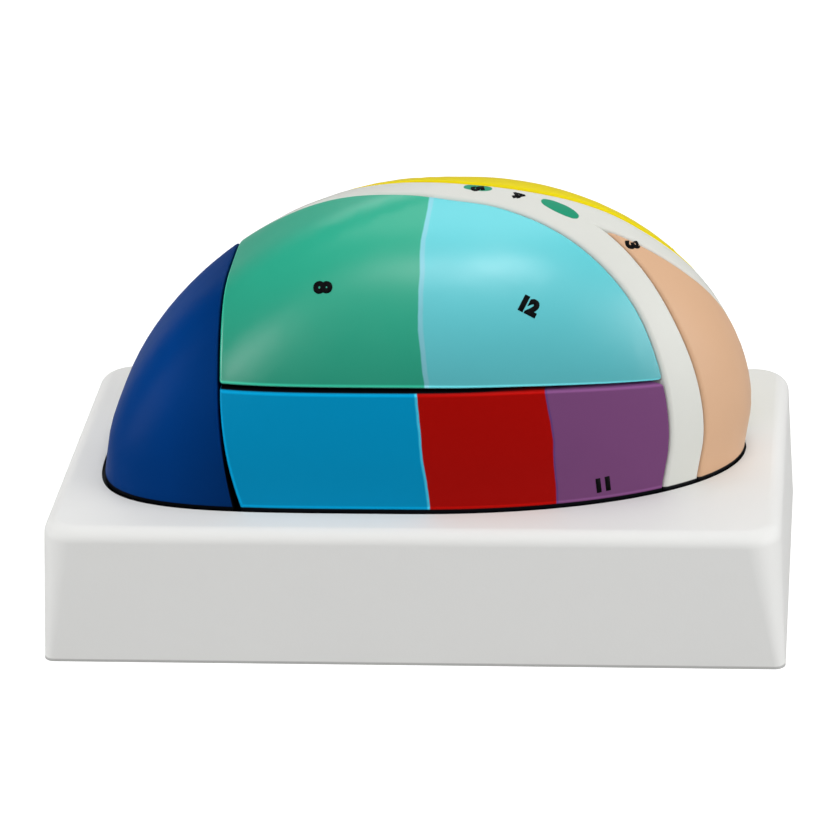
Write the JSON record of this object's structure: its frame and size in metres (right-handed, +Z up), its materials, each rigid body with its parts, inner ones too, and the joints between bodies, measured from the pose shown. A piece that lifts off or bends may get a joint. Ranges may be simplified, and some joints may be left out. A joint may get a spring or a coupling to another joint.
{
  "type": "thalamus anatomy model",
  "caption": "Enlarged take-apart model of the thalamus: coloured blocks, one for each group of nuclei, stand in a shallow well in a white moulded base.",
  "frame": {"origin": "on the table, under the middle of the base", "axes": "+Z up, +X along the base towards the front (anterior) end of the thalamus, -Y towards its lateral side"},
  "size_m": [0.1942, 0.1128, 0.1133],
  "materials": {
    "base": "satin white moulded plastic",
    "pulvinar": "satin paint",
    "dorsal_tier": "satin paint, green towards the rear and pale cyan in front",
    "ventral_tier": "satin paint, blue, then red, then purple at the front",
    "medullary_lamina": "satin paint, with green ovals along the top",
    "anterior_nucleus": "satin paint",
    "mediodorsal_nucleus": "satin paint"
  },
  "bodies": {
    "root": {"base": "base", "pulvinar": "pulvinar", "dorsal_tier": "dorsal_tier", "ventral_tier": "ventral_tier", "medullary_lamina": "medullary_lamina", "anterior_nucleus": "anterior_nucleus", "mediodorsal_nucleus": "mediodorsal_nucleus"}
  },
  "joints": []
}
